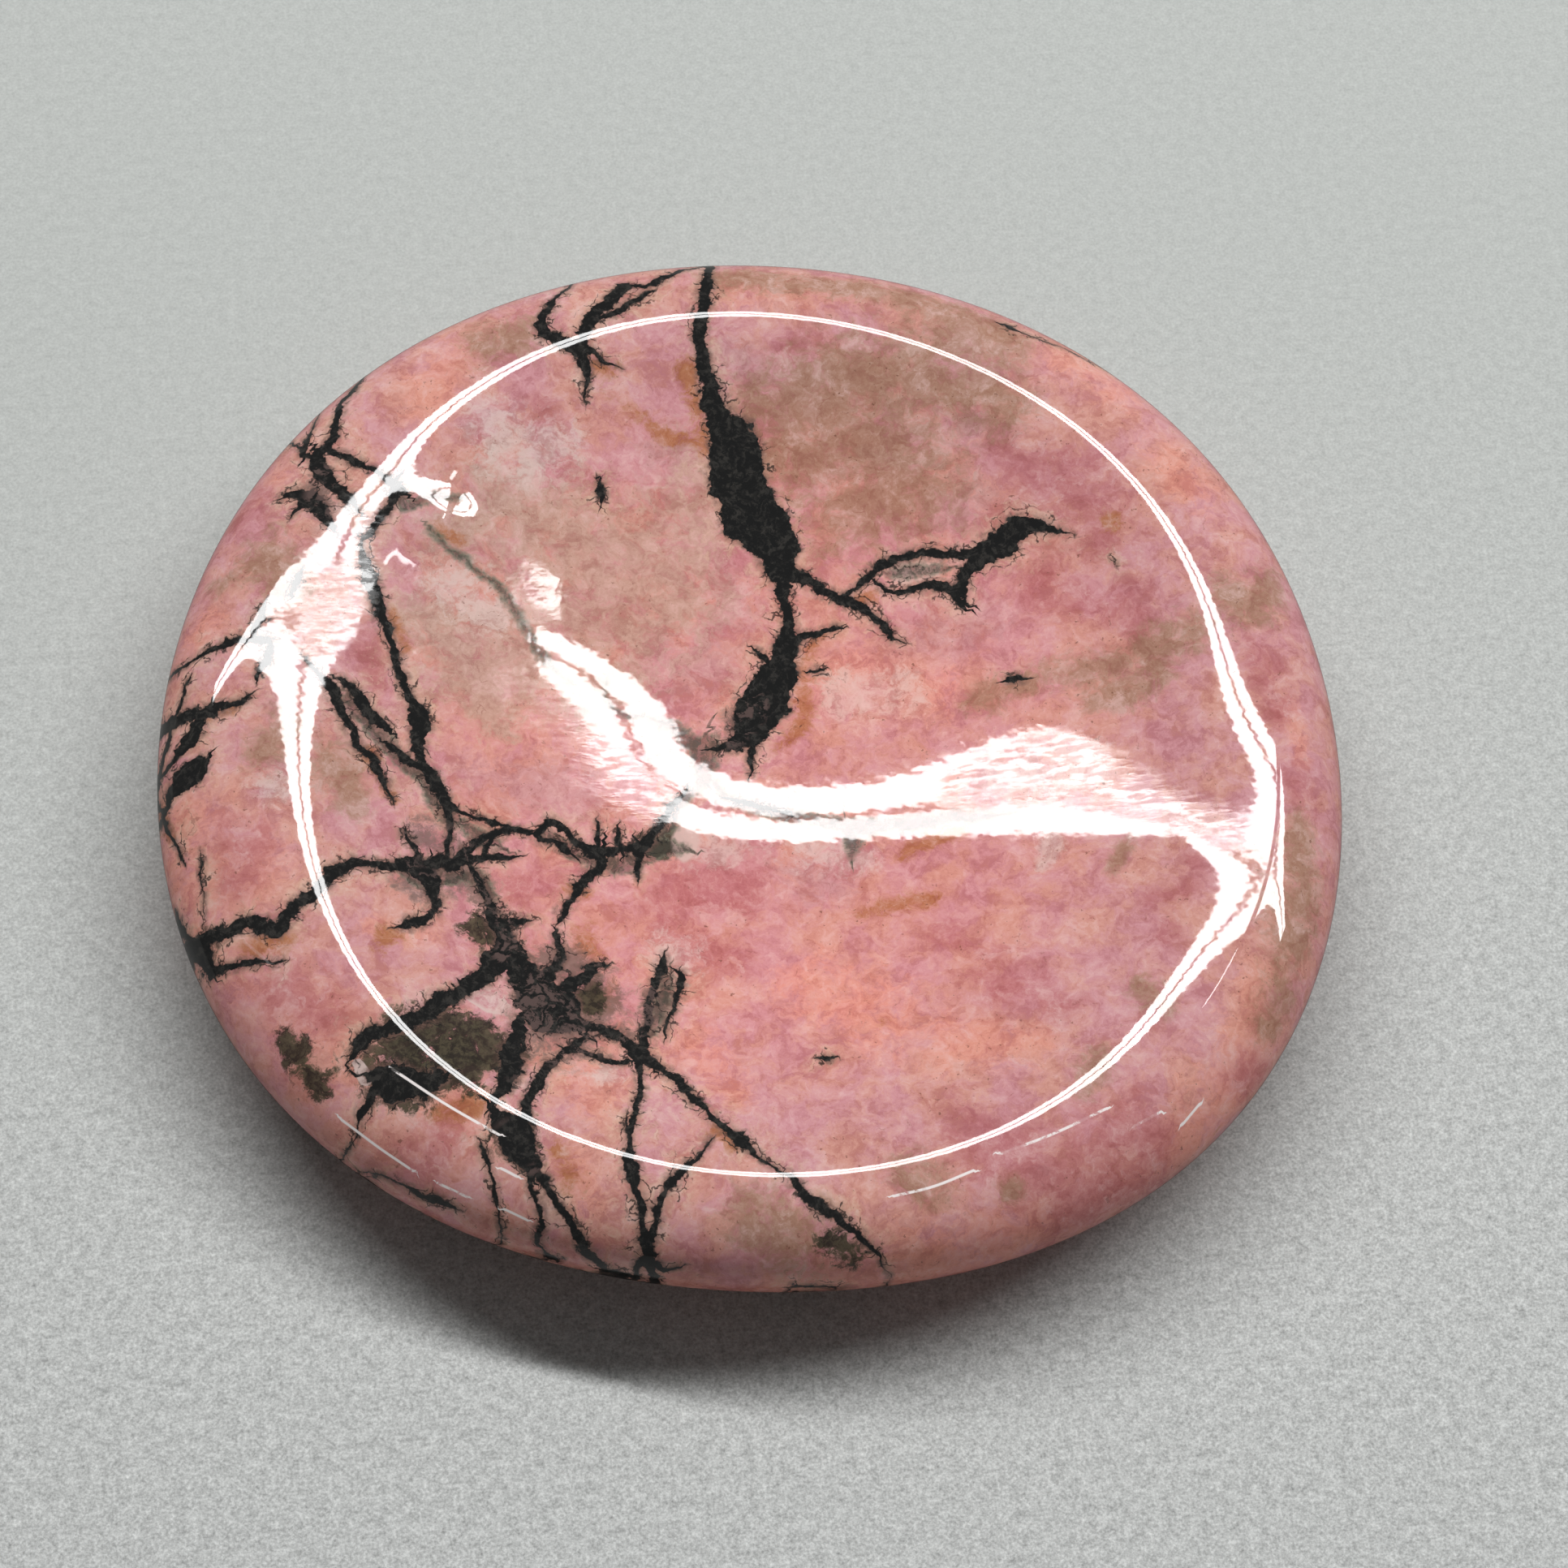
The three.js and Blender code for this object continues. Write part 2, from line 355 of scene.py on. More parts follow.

# %% [markdown]
# ## Where the veins run
# The black veins are cracks that manganese oxide filled, so in the stone they are thin sheets
# that stand nearly upright, and the surface shows where they were cut. Each vein is written as
# a few points read from the photograph. A point is three numbers in the photograph's
# pixels: across, down and half the vein's width. A ray from the camera through it finds it on
# the stone. The stains and patches are written the same way, with softer edges.

# %% The veins, as seen in the photograph
BLACK_VEINS = [
    # The great vein, its spurs and the drip under it
    [873,335,7, 867,370,7, 862,391,7, 861,416,7, 866,440,8, 875,475,12, 885,510,17, 902,546,28, 911,581,31,
     920,616,29, 934,644,32, 950,668,26, 961,692,20, 963,716,12, 964,735,9, 968,756,8, 971,781,12,
     966,809,18, 955,840,22, 940,868,27, 928,893,21, 914,911,14, 897,918,9, 880,921,5],
    [962,822,8, 945,812,6, 931,802,3], [972,792,8, 990,784,5, 1012,780,4, 1026,775,6, 1033,774,3],
    [930,905,8, 927,930,4, 923,955,2],
    [955,678,14, 975,704,12, 992,714,9, 1015,728,7, 1036,738,7, 1058,746,7, 1071,756,6, 1092,777,5,
     1100,788,3, 1113,793,1],
    # The east branch and its lower strand
    [1030,735,4, 1048,730,4, 1064,717,5, 1078,700,5, 1092,693,6, 1117,684,6, 1155,679,6, 1188,683,7,
     1215,677,12, 1245,658,16, 1268,646,13, 1291,650,7, 1310,655,3, 1322,658,1],
    [1078,717,3, 1092,726,4, 1106,730,5, 1141,723,5, 1160,724,7, 1172,731,9, 1180,740,9, 1186,722,8,
     1190,705,8, 1212,687,11, 1242,672,13],
    # The north loop, its inner strand, root and twig
    [690,362,4, 676,378,5, 668,396,7, 673,411,9, 696,423,8, 717,426,9, 720,409,7, 734,385,8, 757,365,8,
     776,352,7, 801,353,5, 825,338,5, 846,332,3],
    [722,408,4, 745,388,4, 773,374,5, 801,360,3], [716,425,9, 719,445,7, 721,465,5, 722,480,3, 722,496,1],
    [722,430,6, 738,441,4, 764,452,1],
    # The north-west: fork, stub, knot, twig, blot, drip and the vein under the rim
    [447,466,3, 434,482,5, 421,497,6, 415,514,6, 408,537,7, 397,555,8, 376,563,5, 362,548,2],
    [372,560,6, 376,543,4, 384,527,2],
    [388,560,9, 394,575,11, 403,590,13, 418,606,9, 432,617,7, 440,626,4],
    [405,555,5, 418,561,4, 441,571,5, 466,583,4, 482,594,6, 492,602,8],
    [346,613,3, 362,607,7, 380,613,13, 396,628,10, 406,645,6, 412,655,2],
    [378,615,9, 366,628,4, 358,637,1], [488,600,8, 480,620,5, 466,642,5, 449,662,6],
    # The long west vein and its two tails
    [445,668,4, 447,682,6, 453,700,7, 459,721,8, 473,767,7, 484,795,6, 492,822,6, 500,848,7, 510,872,10,
     516,890,12, 516,912,9, 517,935,7, 527,952,8, 537,966,9, 547,984,7, 552,1000,5],
    [549,992,6, 552,1015,4, 551,1040,4, 550,1062,4],
    [545,985,5, 562,997,4, 590,1008,4, 624,1021,4, 655,1026,2],
    # The second west vein, its cross, and the chips by the long one
    [380,812,3, 396,832,5, 410,850,6, 420,870,8, 430,892,6, 441,916,6, 455,932,6, 466,947,6, 476,965,4,
     483,985,2],
    [418,838,4, 434,848,7, 446,868,9, 458,884,9, 474,897,6], [478,916,4, 492,924,6, 506,938,6, 520,948,4],
    # The west edge: vein, twig, blot, arch, stubs and dashes
    [196,908,8, 210,893,10, 227,884,11, 255,875,8, 275,870,7, 292,866,6, 306,858,4],
    [252,880,10, 242,896,12, 231,914,11, 224,926,8, 216,936,4],
    [250,938,7, 240,948,15, 226,960,17, 213,975,15, 207,990,7],
    [251,806,4, 272,796,5, 292,789,5, 314,787,6, 332,789,7, 333,802,7, 326,818,6, 318,834,3],
    [308,784,4, 315,772,4, 322,757,5, 326,745,3], [359,733,3, 366,718,6, 372,706,3],
    [247,1050,1, 249,1075,2, 250,1102,1],
    [209,820,3, 196,872,4, 190,930,5, 189,985,5, 194,1040,4, 203,1085,3],
    # The mid west vein, its patch and foot, hook, prong, ladder, rung and stair
    [268,1152,10, 286,1146,10, 301,1137,10, 322,1142,10, 341,1144,12, 352,1128,10, 362,1116,10, 381,1105,8,
     396,1091,7, 405,1080,9, 415,1072,11, 438,1060,6, 460,1066,7, 480,1067,7, 500,1063,9, 516,1068,14,
     528,1070,15, 540,1062,10, 557,1066,8, 575,1060,7, 592,1056,6, 615,1056,5, 636,1054,3],
    [233,1158,5, 238,1168,16, 246,1178,17, 254,1188,10],
    [250,1184,9, 262,1197,9, 276,1192,6, 292,1189,4, 320,1187,3, 348,1184,2],
    [530,1078,12, 531,1092,9, 536,1112,7, 530,1127,7, 518,1134,7, 502,1137,6, 490,1141,3],
    [519,1064,7, 512,1050,4, 505,1037,3, 500,1024,2],
    [560,1062,5, 572,1050,5, 590,1036,5, 606,1029,6, 620,1025,5, 640,1022,4, 656,1022,2],
    [592,1056,5, 601,1045,5, 606,1034,4],
    [575,1062,5, 588,1080,6, 596,1100,6, 606,1118,7, 614,1135,6, 632,1136,5, 653,1133,2],
    # The centre network, its spikes, root and drip, and the east line
    [846,972,2, 838,986,4, 825,999,5, 815,1012,5, 805,1027,7, 789,1040,7, 768,1048,9, 744,1051,12,
     722,1046,8, 707,1036,6, 698,1027,5, 681,1014,6, 672,1018,5, 662,1031,5, 675,1038,4, 690,1041,4,
     700,1046,4],
    [738,1046,6, 737,1030,4, 736,1014,2], [764,1044,6, 764,1032,4, 763,1020,2],
    [744,1050,9, 741,1066,9, 730,1076,6, 718,1086,7, 709,1098,6, 701,1110,5, 694,1124,5, 688,1137,2],
    [784,1044,6, 787,1058,4, 785,1070,4, 786,1082,2],
    [893,982,2, 908,986,4, 926,991,4, 945,996,3, 968,1001,3],
    # The south-west: knot, mass and tail
    [602,1122,6, 607,1136,9, 618,1150,13, 622,1168,16, 608,1186,16, 594,1202,12, 576,1214,10, 560,1226,11,
     546,1234,12, 535,1240,13, 514,1253,11, 498,1260,10, 478,1266,9, 456,1276,11, 442,1290,11, 434,1302,6],
    [462,1330,12, 478,1334,20, 498,1336,22, 520,1334,18, 538,1328,10],
    [466,1338,12, 455,1356,9, 448,1372,6, 444,1382,2],
    # The middle blob, its arms and its foot
    [622,1160,12, 634,1180,14, 644,1200,20, 658,1222,24, 676,1240,32, 692,1252,26, 704,1262,16],
    [662,1215,12, 674,1202,10, 684,1190,8, 690,1172,6, 686,1153,4],
    [684,1226,12, 704,1212,10, 722,1200,10, 731,1190,8, 742,1188,4],
    [700,1258,12, 713,1266,10, 740,1270,8, 763,1278,9, 778,1290,11, 788,1300,13],
    [640,1262,12, 632,1284,13, 629,1302,13, 627,1322,12, 618,1342,9, 610,1356,8],
    # The south mass and its two forks
    [606,1366,8, 616,1378,15, 630,1396,21, 640,1412,19, 648,1428,13],
    [650,1430,9, 655,1450,5, 659,1472,4, 662,1492,4, 664,1514,4, 667,1540,3, 688,1554,2],
    [656,1428,8, 664,1446,6, 674,1464,6, 684,1482,6, 698,1505,6, 711,1526,6, 726,1547,6, 748,1566,5,
     780,1576,3],
    # The loop's two sides and the north strands
    [716,1276,6, 702,1292,6, 688,1304,5, 673,1316,6, 661,1334,7, 652,1354,7, 648,1376,8],
    [700,1292,4, 716,1296,4, 738,1302,4, 756,1308,4, 772,1308,4],
    [786,1296,8, 793,1280,8, 798,1258,7, 801,1236,7, 806,1218,7, 812,1202,8, 817,1187,7, 819,1178,3],
    [820,1278,2, 824,1262,3, 830,1238,5, 838,1222,6, 840,1205,6, 832,1196,3],
    # The south strand, the line beside it, its fork and its foot
    [787,1306,7, 787,1326,4, 788,1348,5, 781,1372,5, 775,1394,5, 774,1412,5, 777,1434,8, 780,1452,8,
     785,1472,6, 790,1502,5, 794,1526,6, 798,1548,8, 802,1566,8, 804,1580,6],
    [772,1370,1, 771,1390,2, 772,1410,1],
    [799,1536,6, 806,1508,4, 813,1486,5, 822,1468,6, 833,1452,7, 850,1434,5, 862,1420,3, 876,1403,1],
    [804,1556,5, 818,1564,5, 836,1562,2],
    # The diagonal
    [788,1300,11, 809,1315,7, 834,1332,8, 848,1348,6, 864,1364,6, 888,1388,6, 903,1398,6, 912,1405,11,
     922,1412,6, 936,1424,3, 956,1437,3, 975,1452,5, 988,1466,7, 1002,1479,8, 1029,1501,8, 1052,1518,5,
     1075,1537,4, 1092,1562,1],
    # Dashes, speckles, dots and a pit, apart from the rest
    [498,1462,2, 515,1470,5, 533,1479,6, 552,1486,4, 564,1489,1],
    [590,1408,2, 596,1424,4, 600,1440,2, 606,1460,4, 610,1476,5, 614,1490,2],
    [1234,399,2, 1245,403,5, 1258,408,2], [739,594,3, 741,604,8, 740,616,5], [1246,838,5, 1256,836,5],
    [1001,826,3, 1010,825,3], [1018,1303,4, 1023,1303,3], [1372,690,1, 1374,693,1],
    [978,1585,2, 988,1585,2],
]
GREY_VEINS = [
    [1012,1009,3, 1035,1010,5, 1056,1011,6, 1100,1013,6, 1154,1009,7, 1195,1005,7, 1230,1003,5,
     1248,1002,2],
    [492,606,10, 502,622,9, 518,618,8, 540,612,6, 566,612,4],
    [530,652,4, 545,666,4, 560,680,4, 576,692,5, 589,703,5, 604,714,5, 617,726,6, 628,742,6, 637,756,6,
     650,782,5, 663,802,5, 676,818,5, 692,834,4, 704,842,2],
    [746,838,2, 746,856,4, 754,872,4, 771,879,5, 789,883,5, 806,888,6, 822,894,7, 838,902,9, 850,912,12,
     864,924,18, 868,940,14],
    [868,918,16, 862,938,12, 866,958,9, 858,972,7, 846,984,7, 832,1004,7, 822,1022,8],
    [880,966,5, 892,978,7, 912,988,7, 940,998,7, 975,1006,8, 1010,1012,9, 1040,1016,11, 1080,1018,10,
     1130,1014,9, 1180,1008,7, 1230,1004,4],
    [1046,1020,12, 1050,1038,11, 1050,1056,6],
    [676,1028,8, 700,1044,9, 726,1058,12, 752,1064,14, 776,1062,12, 796,1052,14, 818,1044,14, 838,1046,9],
    [806,1270,8, 814,1246,11, 820,1222,11, 824,1204,8],
    [432,862,10, 446,884,12, 470,908,12, 496,934,12, 520,960,10, 548,1000,12, 580,1024,10, 610,1040,10],
    [500,1070,14, 528,1078,18, 556,1078,14, 588,1076,12, 604,1106,10],
    [1100,705,9, 1130,702,10, 1160,700,8],
]
OLIVE_STAINS = [
    [596,1280,22, 556,1274,30, 510,1290,36, 464,1308,28],
    [612,1300,24, 570,1312,28, 520,1326,30, 480,1334,26], [540,1256,18, 500,1272,20],
    [352,1282,14, 368,1306,20, 386,1334,18, 398,1350,10], [586,1140,18, 594,1156,14],
    [724,1222,18, 728,1240,12], [246,1170,16], [636,1408,24, 648,1386,14], [800,1040,16, 826,1034,18],
    [1028,1532,20, 1050,1548,16],
]
RUST_STAINS = [
    [742,478,6, 760,496,9, 797,524,10, 825,538,9, 862,540,7], [734,448,14, 752,456,12],
    [846,452,14, 856,500,12, 868,556,10], [988,830,12, 992,858,14, 984,900,12, 962,920,8],
    [1000,800,12, 1012,786,8], [1366,640,14, 1378,648,9],
    [1062,1128,9, 1090,1116,12, 1122,1110,14, 1152,1108,8],
    [1112,1056,8, 1128,1044,14, 1154,1032,12, 1186,1024,8], [480,760,12, 500,800,10],
    [456,926,8, 470,966,9, 486,988,6], [302,1170,10, 330,1164,18, 352,1166,14], [486,1146,14, 470,1164,12],
    [540,1372,14, 566,1366,22, 590,1362,16], [256,880,10, 282,872,10], [200,1000,10, 208,1030,8],
    [746,1236,14, 752,1212,10], [724,1160,22, 736,1180,14], [690,1420,14, 702,1450,16],
    [1072,736,10, 1052,742,7], [700,1098,8, 722,1104,10], [1088,1259,7], [1500,1390,5],
    [880,1390,10, 900,1410,10], [540,650,9, 566,668,9],
]
BROWN_STAINS = [
    [960,500,40, 1040,460,46, 1120,470,50, 1190,474,44, 1240,500,30],
    [990,560,60, 1060,560,80, 1120,600,60, 1050,630,50],
    [880,342,18, 1000,348,18, 1120,368,18, 1210,400,18], [604,420,34, 640,414,26],
    [1196,866,14, 1224,858,20, 1260,842,14, 1320,826,18, 1380,812,18, 1420,796,22, 1460,776,24],
    [1350,862,18, 1400,850,22, 1420,830,20], [1370,1072,8, 1384,1050,10, 1396,1024,9],
    [1520,736,26, 1546,748,26, 1566,716,22], [1180,400,40, 1240,420,26], [262,726,12, 276,716,8],
    [330,690,36, 350,720,24], [1120,1450,28, 1150,1462,22], [1244,1466,14], [1360,1300,14, 1340,1330,18],
    [1410,1222,18, 1436,1238,14], [930,1500,40, 980,1530,40], [1604,1020,18, 1600,1090,34, 1590,1160,32],
    [1580,1230,26, 1560,1260,22], [410,940,26, 430,980,26], [350,900,26, 320,930,22], [620,1310,20],
]
TAN_PATCHES = [
    [620,620,50, 680,640,60, 740,670,56], [690,740,56, 770,750,66, 830,720,56, 800,690,50],
    [720,860,34, 760,840,34], [500,760,26, 540,770,44, 580,820,50, 610,880,34], [620,780,40, 660,830,30],
    [880,560,40, 870,640,36], [560,660,34],
]
ROSE_PATCHES = [
    [1240,560,34, 1270,590,44, 1300,620,36, 1230,640,26], [1340,590,40, 1360,660,40],
    [1280,720,34, 1320,740,26], [1390,740,30, 1400,780,34], [980,430,30, 1010,420,20],
    [450,780,20, 464,840,18], [300,640,26, 320,610,18], [640,1096,30, 670,1086,24],
    [300,1040,34, 290,1090,26], [350,1220,46, 400,1250,36],
    [1466,1046,11, 1474,1078,14, 1456,1102,14, 1420,1104,14], [1440,1150,20],
    [840,1100,44, 900,1080,50, 910,1110,30], [820,1150,26, 900,1190,26],
    [1540,790,16, 1560,830,22, 1576,880,20], [1200,1400,50, 1300,1440,50, 1400,1400,50],
    [1320,1500,36, 1420,1460,40], [540,1400,40, 520,1440,30], [1230,1210,40, 1300,1240,30], [1170,1150,24],
    [1600,960,24, 1620,1000,16], [1540,1330,30], [670,500,18],
]
LILAC_PATCHES = [
    [900,430,20, 920,450,26, 940,470,20], [830,560,40, 860,600,36], [870,660,30, 900,740,34],
    [820,810,40, 870,820,44], [1200,520,22], [1160,640,26, 1200,620,30],
    [580,940,30, 640,960,40, 700,980,40], [320,756,20], [660,1476,12, 680,1500,14, 670,1520,14],
    [412,630,18, 396,650,10], [556,1044,12, 560,1020,12], [1200,760,40, 1100,800,30], [1000,1080,40],
    [826,1230,12, 822,1262,10], [1290,1450,22],
]
# Salmon patches are partly the rock's own colour. The long strokes along the near and left lower edge are
# painted saturation, which makes the lower bevel redder where the polish mirrors the floor.
SALMON_PATCHES_AND_PAINTED_EDGE = [
    [1020,850,44, 1080,840,50, 1150,850,30], [600,900,46, 640,890,30], [560,440,40, 520,500,34],
    [640,1560,50, 800,1585,60, 1000,1590,60, 1200,1550,60, 1400,1450,60, 1520,1350,50],
    [230,1220,40, 330,1380,50, 480,1500,50], [220,1000,50, 240,1080,60, 310,1060,50, 260,1160,40],
    [240,790,26, 262,770,20], [1320,440,34, 1380,480,30], [1440,570,34, 1470,600,30], [700,1300,60],
    [740,1340,40], [700,1440,26, 716,1490,22], [900,350,30, 1040,356,30], [1080,1250,50, 1000,1210,40],
    [1180,1290,40, 1270,1280,30], [860,1300,36, 900,1340,30], [1530,1280,30, 1560,1200,24],
    [520,1150,22, 460,1140,16], [340,590,16], [1590,880,16, 1604,940,12],
]
PALE_PATCHES = [
    [600,520,34, 650,560,40, 690,540,30], [1040,860,34, 1110,850,34],
    [586,1226,12, 604,1232,18, 622,1238,14], [1110,704,14, 1150,704,12],
    [1290,1010,12, 1296,1040,16, 1280,1070,10], [560,720,36, 600,760,30], [760,1320,18, 740,1330,14],
    [1340,940,30, 1240,960,30], [860,1040,30, 900,1050,24], [1060,560,10, 1158,574,8],
    [1000,1040,34, 1060,1056,20], [830,1180,30], [340,960,30], [1120,430,16], [450,1330,8, 440,1310,6],
]
SMOKY_PATCHES = [
    [640,1190,18, 660,1226,26, 690,1252,30, 640,1270,22, 632,1310,16], [610,1130,14, 620,1160,18],
    [560,1084,18, 590,1090,18, 600,1110,14], [720,1210,22, 740,1260,20, 770,1276,16],
    [500,1080,16, 520,1100,16], [800,1250,14, 812,1220,16], [630,1400,16, 650,1430,14],
    [924,870,18, 900,905,14], [560,1290,30, 500,1312,30], [690,1190,34, 730,1230,34, 700,1290,26],
    [520,1030,20, 556,1044,20], [400,590,16, 396,620,16],
]
SCRATCHES = [
    [484,1318,1.8, 548,1360,1.8, 614,1398,1.8], [419,1379,1.8, 466,1414,1.8, 510,1444,1.8],
    [541,1459,1.8, 575,1475,1.8], [621,1490,1.8, 648,1503,1.8], [618,1440,1.8, 637,1450,1.8],
    [300,1160,1.8, 330,1185,1.8], [1232,1422,1.8, 1300,1396,1.8, 1365,1365,1.8],
    [1397,1388,1.8, 1430,1370,1.8], [1455,1388,1.8, 1480,1358,1.8],
    [1100,1474,1.8, 1150,1462,1.8, 1200,1442,1.8],
]
WORN_PATCHES = [
    [640,850,28, 700,920,34, 790,985,30], [1190,970,26, 1300,945,36, 1400,975,30, 1510,1020,24],
    [462,640,14, 452,700,18, 436,760,20], [652,712,18, 662,752,18], [400,720,22, 404,760,26, 392,790,20],
]

# %% [markdown]
# ## From the photograph to the rock
# A point on the stone is turned into a place in the rock: its position seen from above, moved a
# little for every millimetre of depth, because the sheets lean. Under the widest line they also
# wander, so the underside shows the same veins, bent, where they come out below.

# %% Places in the rock
SHEET_LEAN = np.array([0.22, -0.12])
UNDER_WANDER = 2.4
UNDER_WAVELENGTHS = ((17.0, 11.0), (13.0, 21.0))

# Pixels of the photograph, from its middle, for each unit of slope away from the camera's axis.
photo_reach = PHOTO_SIDE / 2 / math.tan(VIEW_ANGLE / 2)
skin_tree = BVHTree.FromPolygons([Vector(p) for p in skin_points], [tuple(f) for f in skin_faces])


def rock_place(points):
    """Position from above, plus the lean times the depth, plus slow sine waves that grow from
    nothing at the widest line to their full height at the flat spot."""
    depth = RIM_HEIGHT - points[..., 2:]
    under = np.clip((WIDEST_HEIGHT - points[..., 2:]) / WIDEST_HEIGHT, 0, 1) ** 2
    x, y = points[..., :1], points[..., 1:2]
    (first, second), (third, fourth) = UNDER_WAVELENGTHS
    wander_x = np.sin(2 * math.pi * (y / first + x / second))
    wander_y = np.cos(2 * math.pi * (x / third - y / fourth))
    wander = UNDER_WANDER * np.concatenate([wander_x, wander_y], -1)
    return points[..., :2] + SHEET_LEAN * depth + wander * under


def photo_rays(pixels):
    """Directions from the camera through pixels of the photograph."""
    across, down = (pixels - PHOTO_SIDE / 2).T
    rays = view_forward + (across[:, None] * view_right - down[:, None] * view_up) / photo_reach
    return rays / np.linalg.norm(rays, axis=1, keepdims=True)


def find_on_stone(pixels):
    """Where rays through the pixels meet the stone, the number of pixels that one millimetre
    takes there, and which of the rays meet it. A stroke whose rays all pass the stone by is put
    on the closest points instead."""
    rays = photo_rays(pixels)
    hits = [skin_tree.ray_cast(Vector(view_place), Vector(ray))[0] for ray in rays]
    met = np.array([hit is not None for hit in hits])
    if not met.any():
        beside = [view_place + ray * np.dot(VIEW_AIM - view_place, ray) for ray in rays]
        hits = [skin_tree.find_nearest(Vector(place))[0] for place in beside]
        met[:] = True
    places = np.array([hit for hit in hits if hit is not None])
    return places, photo_reach / ((places - view_place) @ view_forward), met


# %% Lay the strokes in the rock
PATH_STEP = 0.25
THINNEST = 0.01
EDGE_RADIUS = 18.2
OVER_EDGE = 4.0


def smooth_path(knots):
    """A Catmull-Rom curve through the knots: each stretch is a cubic blend of four knots."""
    padded = np.concatenate([2 * knots[:1] - knots[1:2], knots, 2 * knots[-1:] - knots[-2:-1]])
    stretches = []
    for before, start, end, after in zip(padded, padded[1:], padded[2:], padded[3:]):
        steps = max(2, int(np.ceil(np.linalg.norm((end - start)[:2]) / PATH_STEP)))
        t = np.linspace(0, 1, steps, endpoint=False)[:, None]
        squared = (2 * before - 5 * start + 4 * end - after) * t**2
        cubed = (3 * start - before - 3 * end + after) * t**3
        stretches.append(0.5 * (2 * start + (end - before) * t + squared + cubed))
    return np.concatenate(stretches + [knots[-1:]])


def lay_stroke(stroke):
    """A stroke of the photograph as a curve in the rock: rows of x, y and half width, in mm."""
    stroke = np.reshape(stroke, (-1, 3)).astype(float)
    places, pixels_per_mm, met = find_on_stone(stroke[:, :2])
    knots = np.concatenate([rock_place(places), (stroke[met, 2] / pixels_per_mm)[:, None]], 1)
    if len(knots) == 1:
        knots = np.concatenate([knots, knots + [THINNEST, 0, 0]])
    curve = smooth_path(knots)
    curve[:, 2] = np.clip(curve[:, 2], THINNEST, None)
    return curve


def carry_on(curve):
    """The curve, and past an end that leaves the stone at its edge, straight on and thinner, so
    that the vein also crosses the side that the photograph doesn't show."""
    heading = curve[-1, :2] - curve[-3, :2]
    if np.hypot(*curve[-1, :2]) < EDGE_RADIUS or heading @ curve[-1, :2] < 0:
        return curve
    share = np.arange(0, 1, PATH_STEP / OVER_EDGE)[1:, None]
    further = curve[-1, :2] + heading / np.linalg.norm(heading) * OVER_EDGE * share
    return np.concatenate([curve, np.concatenate([further, curve[-1, 2] * (1 - share)], 1)])


def lay_vein(stroke):
    """A stroke laid in the rock and carried on past both of its ends."""
    return carry_on(carry_on(lay_stroke(stroke))[::-1])[::-1]


black_curves = [lay_vein(stroke) for stroke in BLACK_VEINS]
grey_curves = [lay_vein(stroke) for stroke in GREY_VEINS]
print(len(black_curves), "black veins and", len(grey_curves), "grey ones,",
      sum(len(c) for c in black_curves + grey_curves), "short pieces")

# %% [markdown]
# ## How far from each vein
# The material needs to know, at every point of the stone, on which side of a vein it is and how
# far away, how wide the vein is there, and how far along it. These are three smooth numbers, so
# they can be stored on the mesh's points and the material can make an edge between them that is
# much finer than the mesh. Where two veins meet, one number can't serve both, so veins that come
# near each other are put in different layers.

# %% Distances from a curve
SIDE_LIMIT = 0.3
VEIN_REACH = 2.5
LAYER_GAP = 1.1
TIP_ALLOWANCE = 0.15
FAR_AWAY = 9.0
FADE_START = 2.2
FADE_RATE = 1.5
ALONG_SHIFT = 17.0

skin_rock = rock_place(skin_points)


def skin_normals(points, faces):
    """Outward normals of the points: the sum of their faces' cross products, made one long."""
    corners = points[faces]
    face_normals = np.cross(corners[:, 2] - corners[:, 0], corners[:, 3] - corners[:, 1])
    normals = np.zeros_like(points)
    for corner in range(4):
        np.add.at(normals, faces[:, corner], face_normals)
    return normals / np.linalg.norm(normals, axis=1, keepdims=True)


normals = skin_normals(skin_points, skin_faces)


def distance_from(curve, reach):
    """Signed distance along the surface, half width and length along the curve, for the points
    of the skin within reach of the curve. The nearest piece of the curve gives all three.

    Distance in the rock is divided by the steepness of that distance along the surface, so a
    vein keeps its width where the surface turns down."""
    low, high = curve[:, :2].min(0) - reach, curve[:, :2].max(0) + reach
    near = np.flatnonzero(((skin_rock > low) & (skin_rock < high)).all(1))
    start, step = curve[:-1, :2], np.diff(curve[:, :2], axis=0)
    length = np.linalg.norm(step, axis=1)
    from_start = skin_rock[near][:, None] - start
    share = np.clip((from_start * step).sum(-1) / length**2, 0, 1)
    away = from_start - share[..., None] * step
    nearest = (away**2).sum(-1).argmin(1)
    row = np.arange(len(near))
    share, away = share[row, nearest], away[row, nearest]
    distance = np.linalg.norm(away, axis=1)
    piece = step[nearest]
    side = np.sign(piece[:, 0] * away[:, 1] - piece[:, 1] * away[:, 0])
    width = curve[nearest, 2] * (1 - share) + curve[nearest + 1, 2] * share
    along = np.concatenate([[0], np.cumsum(length)])[nearest] + share * length[nearest]
    slope = np.concatenate([away, -(away @ SHEET_LEAN)[:, None]], 1)
    slope = slope / np.maximum(distance, 1e-9)[:, None]
    across = (slope * normals[near]).sum(1)
    steepness = np.sqrt(np.clip((slope**2).sum(1) - across**2, SIDE_LIMIT**2, None))
    return near, side * distance / steepness, width, along


def closest_gap(curve, other):
    """The smallest gap between two curves, less their half widths."""
    apart = np.linalg.norm(curve[:, None, :2] - other[None, :, :2], axis=2)
    return (apart - curve[:, None, 2] - other[None, :, 2]).min()


def sort_into_layers(curves):
    """Each curve goes in the first layer whose curves all keep clear of it."""
    layers = []
    for curve in curves:
        for layer in layers:
            if all(closest_gap(curve, other) > LAYER_GAP for other in layer):
                layer.append(curve)
                break
        else:
            layers.append([curve])
    return layers


